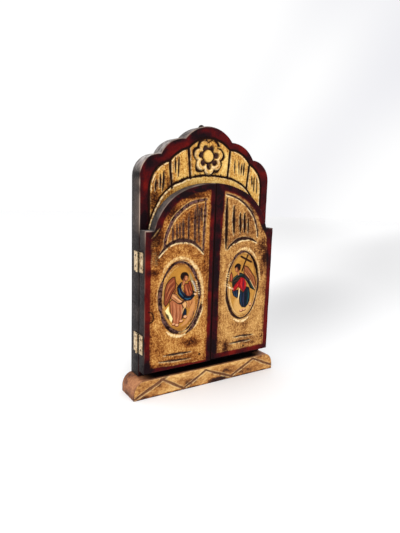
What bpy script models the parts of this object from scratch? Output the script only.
"""Hand-carved wooden triptych: a scalloped case board on a plank foot, closed by two arched doors.

Units are metres, +Z is up and the carved faces look towards -Y. The origin is the middle of the
bottom of the whole object. Each separate piece of the real object is one Blender object.
"""

import math

import bmesh
import bpy
from mathutils import Matrix, Vector

MM = 0.001

# Boards
WIDTH = 195 * MM
DOOR_THICKNESS = 14.5 * MM
CASE_THICKNESS = 22 * MM
HINGE_GAP = 2 * MM  # between the backs of the doors and the face of the case
SEAM = 1 * MM  # between the two doors
TOUCH = 0.3 * MM  # play kept between pieces that rest on each other
EDGE_ROUNDING = 0.9 * MM
EDGE_ANGLE = 50  # degrees; edges sharper than this are taken off

# Scalloped head of the case: tops and meeting points of its lobes, on the right half
CROWN_TOP = 335.2 * MM
INNER_CUSP = (35.5 * MM, 318.4 * MM)
OUTER_CUSP = (69.7 * MM, 298.3 * MM)
MIDDLE_LOBE_RISE = 5.6 * MM
CROWN_SHIFT = -1.2 * MM  # the crown lobe was sawn this far off centre

# The same head drawn again as the line around the gilded field
FIELD_TOP = 321 * MM
FIELD_INNER_CUSP = (31.3 * MM, 307.5 * MM)
FIELD_OUTER_CUSP = (60.5 * MM, 290.8 * MM)
FIELD_MIDDLE_RISE = 5.2 * MM
FIELD_SIDE = 84.5 * MM
FIELD_BOTTOM = 38 * MM

# Cuts in the field above the arch
DIVIDER_LEAN = 0.06  # the dividers lean in by this share of their length
RAY_GOUGE_X = [x * MM for x in (39.5, 45.3, 50.7, 65.6, 70.4, 76.2)]
RAY_GOUGE_TOP = 9 * MM  # kept clear below the field line
RAY_GOUGE_FOOT = 8 * MM  # kept clear above the arch line

# Rosette
ROSETTE_CENTRE = (-1.8 * MM, 297.5 * MM)
BOSS_LIFT = 1.5 * MM  # the boss sits this far above the middle of the petals
BOSS_RADIUS = 7.6 * MM
PETALS = 7
FIRST_PETAL = 15  # degrees
PETAL_RING = 14.6 * MM  # from the middle of the rosette to the middle of a petal
PETAL_RIM_RADIUS = 7.7 * MM
PETAL_RIM_SPREAD = 68  # degrees either side of the petal's axis
HOLLOW_SPAN = (9.6 * MM, 13.6 * MM, 17.8 * MM)  # root, deepest point and tip of a petal's hollow
HOLLOW_WIDTHS = (0.6, 1, 0.3)  # shares of its full width there

# Basket arch of the doors: a crown arc between two haunch arcs
CROWN_CENTRE_Z = 152.1 * MM
HAUNCH_CENTRE = (18 * MM, 192.7 * MM)
HAUNCH_RADIUS = 69.2 * MM
SHOULDER_Z = 207.8 * MM
CASE_ARCH_OFFSET = 7.8 * MM  # the arch line on the case runs this far outside the doors
CASE_ARCH_FOOT = 20 * MM  # and stops this far above their shoulders

# Carved figures on the doors, on the right half
QUADRANT_RADIUS = 59.3 * MM
QUADRANT_SPAN = (84, 2)  # degrees
POST_X = 17 * MM
POST_BELOW = 5 * MM  # the post starts this far below the quadrant's centre
POST_CLEAR = 2 * MM  # and stops this far below its curve
FAN_X = (23 * MM, 60 * MM)  # first and last upright cut of the fan
FAN_TOP = 8 * MM  # kept clear below the quadrant
FAN_FOOT = 7 * MM  # kept clear above the crescent
CRESCENT_CENTRE = (48 * MM, 159.7 * MM)
CRESCENT_RADIUS = 35.4 * MM
INSIDE_LINE_INSET = 13 * MM
DOORS = {
    "left": {
        "side": -1,
        "bottom": 32.4 * MM,
        "quadrant": (12.1 * MM, 185.1 * MM),
        "oval": (48.7 * MM, 123.7 * MM),
        "oval_axes": (27.5 * MM, 44.7 * MM),
        "crescent_span": (149, 29),
        "fan_cuts": 7,
        "strokes": [[(34 * MM, 51 * MM), (70 * MM, 52 * MM)], [(31 * MM, 42 * MM), (76 * MM, 44.5 * MM)]],
    },
    "right": {
        "side": 1,
        "bottom": 33.9 * MM,
        "quadrant": (12.1 * MM, 193 * MM),
        "oval": (48.5 * MM, 131 * MM),
        "oval_axes": (26.5 * MM, 46 * MM),
        "crescent_span": (139, 50),
        "fan_cuts": 5,
        "strokes": [[(36 * MM, 59.4 * MM), (71 * MM, 58.7 * MM)], [(30 * MM, 51.7 * MM), (66 * MM, 51.4 * MM)]],
    },
}

# Half width of each carved line, which is also about its depth
CUTS = {
    "field": 1.4 * MM,
    "case_arch": 1.7 * MM,
    "divider": 1.5 * MM,
    "ray_gouge": 0.9 * MM,
    "rosette_trench": 2 * MM,
    "petal_hollow": 2.4 * MM,
    "petal_rim": 1.1 * MM,
    "quadrant": 2.2 * MM,
    "post": 1.4 * MM,
    "fan": 1 * MM,
    "crescent": 2.2 * MM,
    "oval": 2.3 * MM,
    "stroke": 1.2 * MM,
    "inside": 1.1 * MM,
    "zigzag": 1.6 * MM,
}
CUT_LIFT = 0.15 * MM  # the middle of a cutter runs this far outside the face
CUT_END = 0.15  # share of its width that a tapering cut keeps at its ends
GOUGE_SWELL = ((0, CUT_END), (0.3, 1), (0.75, 1), (1, CUT_END))  # (share of length, share of width)

# Plank foot
BASE_LENGTH = 220 * MM
BASE_DEPTH = 37 * MM
BASE_HEIGHT = 23.5 * MM
BASE_END = (13 * MM, 17 * MM)  # half axes of the round upper ends
BASE_SETBACK = 0.8 * MM  # the foot's front lies this far behind the doors' faces
ZIGZAG_X = [x * MM for x in (-108, -72, -40, -6, 36, 74, 108)]
ZIGZAG_Z = (2.6 * MM, 21 * MM)

# Butt hinges
HINGE_HEIGHTS = {"lower": 68.5 * MM, "upper": 170 * MM}
HINGE_LENGTH = 24 * MM
LEAF_WIDTH = 12 * MM  # from the pin's axis to the leaf's edge
LEAF_THICKNESS = 1 * MM
KNUCKLES = 3
KNUCKLE_RADIUS = 2 * MM
ROLL_OVERLAP = 0.05 * MM  # the rolled knuckle stands this far proud of its leaf
PIN_RADIUS = 0.75 * MM
BORE_OVERRUN = 1 * MM

# Nails
NAIL_HEAD_RADIUS = 1.35 * MM
NAIL_SHANK_RADIUS = 0.5 * MM
NAIL_LENGTH = 8 * MM
NAIL_POINT = 1 * MM
NAIL_ROUNDING = 0.2 * MM
NAIL_INSET = 3.6 * MM  # from the leaf's edge
NAIL_SPACING = 13 * MM

# Hanging eye
EYE_WIDTH = 9.4 * MM
EYE_TOP = 339.5 * MM
EYE_LENGTH = 27 * MM
EYE_HOLE_RADIUS = 2.1 * MM
EYE_THICKNESS = 1.2 * MM
EYE_NAIL_DROPS = {"high": 7 * MM, "low": 13.5 * MM}  # below the hole

# Where the layers lie from front to back
DEPTH = DOOR_THICKNESS + HINGE_GAP + CASE_THICKNESS + TOUCH + EYE_THICKNESS + NAIL_ROUNDING
DOOR_FRONT = -DEPTH / 2
DOOR_BACK = DOOR_FRONT + DOOR_THICKNESS
CASE_FRONT = DOOR_BACK + HINGE_GAP
CASE_BACK = CASE_FRONT + CASE_THICKNESS
CASE_BOTTOM = BASE_HEIGHT + TOUCH
LEAF_FACE_X = WIDTH / 2 + TOUCH + LEAF_THICKNESS
PIN_X = WIDTH / 2 + TOUCH + KNUCKLE_RADIUS - ROLL_OVERLAP
PIN_Y = DOOR_BACK + HINGE_GAP / 2

# Fineness
ROUND_SIDES = 12
NAIL_SIDES = 8
WELD = 0.01 * MM
SMOOTH_ANGLE = 35  # degrees

OBJECT_NAME = "triptych"


def new_collection(name):
    collection = bpy.data.collections.new(name)
    bpy.context.scene.collection.children.link(collection)
    return collection


for item in list(bpy.data.objects):
    bpy.data.objects.remove(item, do_unlink=True)
PARTS = new_collection(OBJECT_NAME)
CUTTERS = new_collection(OBJECT_NAME + "_cutters")


def material(name, color, roughness, metallic=0.0):
    made = bpy.data.materials.new(name)
    made.use_nodes = True
    shader = made.node_tree.nodes["Principled BSDF"]
    shader.inputs["Base Color"].default_value = (*color, 1.0)
    shader.inputs["Roughness"].default_value = roughness
    shader.inputs["Metallic"].default_value = metallic
    return made


FINISHES = {
    "base_plank": material("base_wood", (0.46, 0.26, 0.11), 0.55),
    "case_board": material("case_gilding", (0.50, 0.27, 0.08), 0.45),
    "door_left": material("left_door_gilding", (0.46, 0.24, 0.07), 0.45),
    "door_right": material("right_door_gilding", (0.48, 0.25, 0.07), 0.45),
    "leaf": material("hinge_brass", (0.62, 0.50, 0.33), 0.4, 1.0),
    "pin": material("pin_brass", (0.55, 0.44, 0.29), 0.4, 1.0),
    "nail": material("nail_steel", (0.16, 0.14, 0.12), 0.5, 1.0),
    "eye": material("eye_steel", (0.06, 0.055, 0.05), 0.5, 1.0),
}


# Lines in the plane of the boards, as lists of (x, z)


def arc(centre, radius, start, end, steps):
    """Points on a circle between two angles in degrees, which grow anticlockwise seen from the front."""
    points = []
    for step in range(steps + 1):
        angle = math.radians(start + (end - start) * step / steps)
        points.append((centre[0] + radius * math.cos(angle), centre[1] + radius * math.sin(angle)))
    return points


def bow(start, end, rise, steps):
    """The arc that joins two points, going from left to right, and rises above their chord."""
    chord = math.dist(start, end)
    radius = (chord * chord / 4 + rise * rise) / (2 * rise)
    along = (Vector(end) - Vector(start)) / chord
    upwards = Vector((-along.y, along.x))
    centre = (Vector(start) + Vector(end)) / 2 + upwards * (rise - radius)
    first = math.degrees(math.atan2(start[1] - centre.y, start[0] - centre.x))
    last = math.degrees(math.atan2(end[1] - centre.y, end[0] - centre.x))
    return arc(centre, radius, first, last, steps)


def mirrored(points):
    """The same line on the left half, in the opposite order, so that it joins on to the right half."""
    return [(-x, z) for x, z in reversed(points)]


def on_side(side, points):
    """Points given for the right half (side 1), or the same ones on the left half (side -1)."""
    return [(side * x, z) for x, z in points]


def height_on(line, x):
    """Height of a line that runs from left to right, at one place across it."""
    for (x0, z0), (x1, z1) in zip(line, line[1:]):
        if x0 <= x <= x1:
            return z0 + (z1 - z0) * (x - x0) / (x1 - x0)
    raise ValueError("the line doesn't reach that far")


def height_on_circle(centre, radius, x):
    """Height of the top half of a circle at one place across it, or of its centre beside it."""
    return centre[1] + math.sqrt(max(0, radius**2 - (x - centre[0]) ** 2))


def scallops(top, inner_cusp, outer_cusp, middle_rise, side, steps):
    """The five lobes of the head, from the left side over the top to the right side."""
    shoulder_radius = side - outer_cusp[0]
    shoulder = arc((outer_cusp[0], outer_cusp[1] - shoulder_radius), shoulder_radius, 90, 0, steps)
    right_cusp = (inner_cusp[0] + CROWN_SHIFT, inner_cusp[1])
    left_cusp = (inner_cusp[0] - CROWN_SHIFT, inner_cusp[1])
    right = bow(right_cusp, outer_cusp, middle_rise, steps) + shoulder[1:]
    left = mirrored(bow(left_cusp, outer_cusp, middle_rise, steps) + shoulder[1:])
    crown = bow(left[-1], right[0], top - inner_cusp[1], 2 * steps)
    return left + crown[1:-1] + right


def basket_arch(offset, low_z, steps):
    """Right half of the three-centred arch, moved outwards by offset, from its crown down to low_z."""
    radius = HAUNCH_RADIUS + offset
    crown_radius = math.dist(HAUNCH_CENTRE, (0, CROWN_CENTRE_Z)) + radius
    meeting = math.degrees(math.atan2(HAUNCH_CENTRE[1] - CROWN_CENTRE_Z, HAUNCH_CENTRE[0]))
    low = math.degrees(math.asin((low_z - HAUNCH_CENTRE[1]) / radius))
    crown = arc((0, CROWN_CENTRE_Z), crown_radius, 90, meeting, steps // 2)
    return crown + arc(HAUNCH_CENTRE, radius, meeting, low, steps)[1:]


def ellipse(centre, axes, steps):
    circle = arc((0, 0), 1, 0, 360, steps)[:-1]
    return [(centre[0] + axes[0] * x, centre[1] + axes[1] * z) for x, z in circle]


def gouge(start, end):
    """A straight cut between two points that swells quickly and runs out at both ends."""
    return [(*Vector(start).lerp(Vector(end), share), width) for share, width in GOUGE_SWELL]


def swelling(line):
    """A line whose width grows from its ends to its middle."""
    last = len(line) - 1
    widths = [CUT_END + (1 - CUT_END) * math.sin(math.pi * index / last) for index in range(len(line))]
    return [(*point, width) for point, width in zip(line, widths)]


# Solids


def link(name, mesh, placed, finish=None):
    """A part in its place, or a cutter where no finish is given."""
    made = bpy.data.objects.new(name, mesh)
    made.matrix_world = placed
    if finish:
        mesh.materials.append(FINISHES[finish])
        PARTS.objects.link(made)
    else:
        CUTTERS.objects.link(made)
        made.hide_render = True
        made.display_type = "WIRE"
    return made


def drawn(lines, closed):
    """A flat curve through lists of (x, z), or of (x, z, width) where a line swells and tapers."""
    curve = bpy.data.curves.new("drawing", "CURVE")
    curve.dimensions = "2D"
    for points in lines:
        spline = curve.splines.new("POLY")
        spline.points.add(len(points) - 1)
        for point, (x, z, *width) in zip(spline.points, points):
            point.co = (x, z, 0, 1)
            point.radius = width[0] if width else 1
        spline.use_cyclic_u = closed
    return curve


def as_mesh(curve):
    """The solid that a curve draws, as a closed mesh with its caps welded on."""
    drawing = bpy.data.objects.new("drawing", curve)
    bpy.context.scene.collection.objects.link(drawing)
    bpy.context.view_layer.update()
    graph = bpy.context.evaluated_depsgraph_get()
    mesh = bpy.data.meshes.new_from_object(drawing.evaluated_get(graph))
    edit = bmesh.new()
    edit.from_mesh(mesh)
    bmesh.ops.remove_doubles(edit, verts=edit.verts, dist=WELD)
    bmesh.ops.recalc_face_normals(edit, faces=edit.faces)
    edit.to_mesh(mesh)
    edit.free()
    bpy.data.objects.remove(drawing, do_unlink=True)
    return mesh


def upright(y):
    """Stands a drawing up, so that its x and y become the world's x and z."""
    return Matrix.Translation((0, y, 0)) @ Matrix.Rotation(math.pi / 2, 4, "X")


def sawn(name, outlines, front, thickness, finish):
    """A plate sawn to an outline. Further outlines are holes in it."""
    curve = drawn(outlines, closed=True)
    curve.fill_mode = "BOTH"
    curve.extrude = thickness / 2
    return link(name, as_mesh(curve), upright(front + thickness / 2), finish)


def take_edges_off(board):
    bevel = board.modifiers.new("edges", "BEVEL")
    bevel.width = EDGE_ROUNDING
    bevel.segments = 1
    bevel.limit_method = "ANGLE"
    bevel.angle_limit = math.radians(EDGE_ANGLE)


def groove(kind, lines, face, into, closed=False):
    """A V cut along lines in the face at y = face. into is 1 where the board lies behind that face."""
    curve = drawn(lines, closed)
    curve.fill_mode = "NONE"
    curve.bevel_depth = CUTS[kind]
    curve.bevel_resolution = 0  # a square on its corner, whose inner half is the V
    curve.use_fill_caps = True
    return link(kind + "_cut", as_mesh(curve), upright(face - into * CUT_LIFT))


def cut(board, *cutters):
    for tool in cutters:
        modifier = board.modifiers.new(tool.name, "BOOLEAN")
        modifier.operation = "DIFFERENCE"
        modifier.object = tool


def join(board, addition):
    modifier = board.modifiers.new(addition.name, "BOOLEAN")
    modifier.operation = "UNION"
    modifier.object = addition


def rod(name, radius, length, centre, finish=None):
    """An upright cylinder."""
    edit = bmesh.new()
    bmesh.ops.create_cone(
        edit, cap_ends=True, segments=ROUND_SIDES, radius1=radius, radius2=radius, depth=length
    )
    mesh = bpy.data.meshes.new(name)
    edit.to_mesh(mesh)
    edit.free()
    mesh.shade_smooth()
    mesh.set_sharp_from_angle(angle=math.radians(SMOOTH_ANGLE))
    return link(name, mesh, Matrix.Translation(centre), finish)


def turned(name, profile, point, direction, finish=None):
    """A solid turned from a profile of (radius, z), whose own Z then points in a direction."""
    mesh = bpy.data.meshes.new(name)
    edges = [(index, index + 1) for index in range(len(profile) - 1)]
    mesh.from_pydata([(radius, 0, z) for radius, z in profile], edges, [])
    aim = Vector(direction).to_track_quat("Z", "Y").to_matrix().to_4x4()
    made = link(name, mesh, Matrix.Translation(point) @ aim, finish)
    turn = made.modifiers.new("turned", "SCREW")
    turn.steps = NAIL_SIDES
    turn.render_steps = NAIL_SIDES
    turn.use_merge_vertices = True
    turn.merge_threshold = WELD
    return made


# Case board


def field_line(steps):
    return scallops(FIELD_TOP, FIELD_INNER_CUSP, FIELD_OUTER_CUSP, FIELD_MIDDLE_RISE, FIELD_SIDE, steps)


def case_arch_line(steps):
    right = basket_arch(CASE_ARCH_OFFSET, SHOULDER_Z + CASE_ARCH_FOOT, steps)
    return mirrored(right) + right[1:]


def divider_lines():
    """The four cuts that part the field above the arch into rays."""
    arch_line = case_arch_line(16)
    lines = []
    for cusp, shift in ((FIELD_INNER_CUSP, CROWN_SHIFT), (FIELD_OUTER_CUSP, 0)):
        for side in (-1, 1):
            x, z = cusp[0] + side * shift, cusp[1]
            foot_x = x - DIVIDER_LEAN * (z - height_on(arch_line, x))
            lines.append(on_side(side, [(x, z), (foot_x, height_on(arch_line, foot_x))]))
    return lines


def ray_gouges():
    """Short cuts in the four outer rays, which follow the field line above and the arch line below."""
    top_line = field_line(10)
    arch_line = case_arch_line(16)
    lines = []
    for x in RAY_GOUGE_X:
        low = (x, height_on(arch_line, x) + RAY_GOUGE_FOOT)
        high = (x, height_on(top_line, x) - RAY_GOUGE_TOP)
        lines += [gouge(*on_side(1, [low, high])), gouge(*on_side(-1, [low, high]))]
    return lines


def rosette_cutters():
    """A round trench about the boss, and a hollow and a rim for each petal."""
    boss = (ROSETTE_CENTRE[0], ROSETTE_CENTRE[1] + BOSS_LIFT)
    trench = arc(boss, BOSS_RADIUS + CUTS["rosette_trench"], 0, 360, 20)[:-1]
    middle = Vector(ROSETTE_CENTRE)
    hollows = []
    rims = []
    for petal in range(PETALS):
        turn = FIRST_PETAL + 360 * petal / PETALS
        out = Vector((math.cos(math.radians(turn)), math.sin(math.radians(turn))))
        places = [middle + out * distance for distance in HOLLOW_SPAN]
        hollows.append([(*place, width) for place, width in zip(places, HOLLOW_WIDTHS)])
        first, last = turn - PETAL_RIM_SPREAD, turn + PETAL_RIM_SPREAD
        rims.append(arc(middle + out * PETAL_RING, PETAL_RIM_RADIUS, first, last, 5))
    yield groove("rosette_trench", [trench], CASE_FRONT, 1, closed=True)
    yield groove("petal_hollow", hollows, CASE_FRONT, 1)
    for rim in rims:
        yield groove("petal_rim", [rim], CASE_FRONT, 1)


def make_case():
    outline = [(-WIDTH / 2, CASE_BOTTOM)]
    outline += scallops(CROWN_TOP, INNER_CUSP, OUTER_CUSP, MIDDLE_LOBE_RISE, WIDTH / 2, 7)
    outline.append((WIDTH / 2, CASE_BOTTOM))
    board = sawn("case_board", [outline], CASE_FRONT, CASE_THICKNESS, "case_board")
    take_edges_off(board)
    field = [(-FIELD_SIDE, FIELD_BOTTOM), *field_line(7), (FIELD_SIDE, FIELD_BOTTOM)]
    cut(
        board,
        groove("field", [field], CASE_FRONT, 1, closed=True),
        groove("case_arch", [case_arch_line(10)], CASE_FRONT, 1),
        groove("divider", divider_lines(), CASE_FRONT, 1),
        groove("ray_gouge", ray_gouges(), CASE_FRONT, 1),
        *rosette_cutters(),
    )
    return board


# Doors


def door_outline(door, inset=0.0):
    """The outline of a door, or a line that runs inside it."""
    outer = WIDTH / 2 - inset
    inner = SEAM / 2 + inset
    low = door["bottom"] + inset
    arch = basket_arch(-inset, SHOULDER_Z, 10)
    haunch = [point for point in arch if point[0] > inner]
    shoulder = (outer, SHOULDER_Z - inset)
    return on_side(
        door["side"], [(inner, low), (inner, height_on(arch, inner)), *haunch, shoulder, (outer, low)]
    )


def fan_cuts(door):
    """Upright cuts that fill the quadrant, from over the crescent to under the quadrant's curve."""
    first, last = FAN_X
    lines = []
    for index in range(door["fan_cuts"]):
        x = first + (last - first) * index / (door["fan_cuts"] - 1)
        low = (x, height_on_circle(CRESCENT_CENTRE, CRESCENT_RADIUS, x) + FAN_FOOT)
        high = (x, height_on_circle(door["quadrant"], QUADRANT_RADIUS, x) - FAN_TOP)
        lines.append(gouge(*on_side(door["side"], [low, high])))
    return lines


def make_door(name, door):
    side = door["side"]
    board = sawn(name, [door_outline(door)], DOOR_FRONT, DOOR_THICKNESS, name)
    take_edges_off(board)
    quadrant = arc(door["quadrant"], QUADRANT_RADIUS, *QUADRANT_SPAN, 12)
    post_foot = (POST_X, door["quadrant"][1] - POST_BELOW)
    post_head = (POST_X, height_on_circle(door["quadrant"], QUADRANT_RADIUS, POST_X) - POST_CLEAR)
    crescent = arc(CRESCENT_CENTRE, CRESCENT_RADIUS, *door["crescent_span"], 10)
    oval = ellipse(door["oval"], door["oval_axes"], 32)
    strokes = [gouge(*on_side(side, ends)) for ends in door["strokes"]]
    inside = door_outline(door, INSIDE_LINE_INSET)
    cut(
        board,
        groove("quadrant", [swelling(on_side(side, quadrant))], DOOR_FRONT, 1),
        groove("post", [on_side(side, [post_foot, post_head])], DOOR_FRONT, 1),
        groove("fan", fan_cuts(door), DOOR_FRONT, 1),
        groove("crescent", [swelling(on_side(side, crescent))], DOOR_FRONT, 1),
        groove("oval", [on_side(side, oval)], DOOR_FRONT, 1, closed=True),
        groove("stroke", strokes, DOOR_FRONT, 1),
        groove("inside", [inside], DOOR_BACK, -1, closed=True),
    )
    return board


# Plank foot


def make_base():
    half = BASE_LENGTH / 2
    end_centre = (half - BASE_END[0], BASE_HEIGHT - BASE_END[1])
    round_end = [
        (end_centre[0] + BASE_END[0] * x, end_centre[1] + BASE_END[1] * z)
        for x, z in arc((0, 0), 1, 90, 0, 7)
    ]
    right = [*round_end, (half, 0)]
    front = DOOR_FRONT + BASE_SETBACK
    plank = sawn("base_plank", [mirrored(right) + right], front, BASE_DEPTH, "base_plank")
    take_edges_off(plank)
    zigzag = [(x, ZIGZAG_Z[index % 2]) for index, x in enumerate(ZIGZAG_X)]
    cut(plank, groove("zigzag", [zigzag], front, 1))


# Hinges and nails


def leaf_outline(spans):
    """A leaf seen from the side, y across and z up, with a tab reaching the pin at each knuckle."""
    clear = KNUCKLE_RADIUS + TOUCH
    half = HINGE_LENGTH / 2
    points = [(LEAF_WIDTH, -half), (LEAF_WIDTH, half), (clear, half)]
    for low, high in reversed(spans):
        points += [(clear, high), (0, high), (0, low), (clear, low)]
    points.append((clear, -half))
    return [point for point in points if points.count(point) == 1]  # an end tab has no corner there


def make_leaf(name, side, towards, height, spans):
    """One leaf with its knuckles. towards is 1 for the case leaf and -1 for the door leaf."""
    curve = drawn([[(towards * y, z) for y, z in leaf_outline(spans)]], closed=True)
    curve.fill_mode = "BOTH"
    curve.extrude = LEAF_THICKNESS / 2
    sideways = Matrix(((0, 0, 1, 0), (1, 0, 0, 0), (0, 1, 0, 0), (0, 0, 0, 1)))
    place = (side * (LEAF_FACE_X - LEAF_THICKNESS / 2), PIN_Y, height)
    leaf = link(name, as_mesh(curve), Matrix.Translation(place) @ sideways, "leaf")
    for low, high in spans:
        centre = (side * PIN_X, PIN_Y, height + (low + high) / 2)
        join(leaf, rod("knuckle", KNUCKLE_RADIUS, high - low + 2 * ROLL_OVERLAP, centre))
    return leaf


def drive_nail(name, point, direction, plate, board):
    """A nail whose head is sunk level with point, and its hole through the plate into the board."""
    neck = NAIL_HEAD_RADIUS - NAIL_SHANK_RADIUS
    nail_profile = [
        (0, NAIL_ROUNDING),
        (NAIL_HEAD_RADIUS, 0),
        (NAIL_SHANK_RADIUS, -neck),
        (NAIL_SHANK_RADIUS, NAIL_POINT - NAIL_LENGTH),
        (0, -NAIL_LENGTH),
    ]
    hole_profile = [
        (0, TOUCH),
        (NAIL_HEAD_RADIUS + 2 * TOUCH, TOUCH),
        (NAIL_SHANK_RADIUS + TOUCH, -neck - TOUCH),
        (NAIL_SHANK_RADIUS + TOUCH, -NAIL_LENGTH - TOUCH),
        (0, -NAIL_LENGTH - TOUCH),
    ]
    hole = turned(name + "_hole", hole_profile, point, direction)
    cut(plate, hole)
    cut(board, hole)
    return turned(name, nail_profile, point, direction, "nail")


def make_hinge(label, side, height, case, door, axis):
    """A three-knuckle butt hinge on the outer edges of the case and of one door."""
    half = HINGE_LENGTH / 2
    split = half / KNUCKLES  # from the middle of the hinge to where its knuckles meet
    play = TOUCH / 2 + ROLL_OVERLAP
    case_spans = [(-half, -split - play), (split + play, half)]
    case_leaf = make_leaf(label + "_case_leaf", side, 1, height, case_spans)
    door_leaf = make_leaf(label + "_door_leaf", side, -1, height, [(play - split, split - play)])
    pin_centre = (side * PIN_X, PIN_Y, height)
    rod(label + "_pin", PIN_RADIUS, HINGE_LENGTH, pin_centre, "pin")
    bore = rod("bore", PIN_RADIUS + TOUCH, HINGE_LENGTH + 2 * BORE_OVERRUN, pin_centre)
    hang_on(axis, door_leaf)
    for leaf, board, towards, owner in ((case_leaf, case, 1, "case"), (door_leaf, door, -1, "door")):
        for end, offset in (("low", -NAIL_SPACING / 2), ("high", NAIL_SPACING / 2)):
            point = (side * LEAF_FACE_X, PIN_Y + towards * (LEAF_WIDTH - NAIL_INSET), height + offset)
            nail = drive_nail(f"{label}_{owner}_nail_{end}", point, (side, 0, 0), leaf, board)
            if board == door:
                hang_on(axis, nail)
        cut(leaf, bore)


def make_hanging_eye(case):
    """A flat plate with two round ends, nailed to the back so that its hole clears the crown."""
    front = CASE_BACK + TOUCH
    radius = EYE_WIDTH / 2
    hole_centre = (0, EYE_TOP - radius)
    outline = arc(hole_centre, radius, 0, 180, 12)
    outline += arc((0, EYE_TOP - EYE_LENGTH + radius), radius, 180, 360, 8)
    hole = arc(hole_centre, EYE_HOLE_RADIUS, 0, 360, 14)[:-1]
    plate = sawn("hanger_plate", [outline, hole], front, EYE_THICKNESS, "eye")
    for end, drop in EYE_NAIL_DROPS.items():
        point = (0, front + EYE_THICKNESS, hole_centre[1] - drop)
        drive_nail("hanger_nail_" + end, point, (0, 1, 0), plate, case)


# Assembly


def hinge_axis(name, side):
    """An empty on the pins of one door, which the door and what is nailed to it hang from."""
    axis = bpy.data.objects.new(name, None)
    axis.location = (side * PIN_X, PIN_Y, 0)
    axis.empty_display_size = HINGE_LENGTH
    PARTS.objects.link(axis)
    return axis


def hang_on(axis, piece):
    piece.parent = axis
    piece.matrix_parent_inverse = Matrix.Translation(axis.location).inverted()


make_base()
case_board = make_case()
for door_label, door_plan in DOORS.items():
    door_board = make_door("door_" + door_label, door_plan)
    pins = hinge_axis(f"door_{door_label}_axis", door_plan["side"])
    hang_on(pins, door_board)
    for hinge_label, hinge_height in HINGE_HEIGHTS.items():
        hinge_name = f"hinge_{door_label}_{hinge_label}"
        make_hinge(hinge_name, door_plan["side"], hinge_height, case_board, door_board, pins)
make_hanging_eye(case_board)
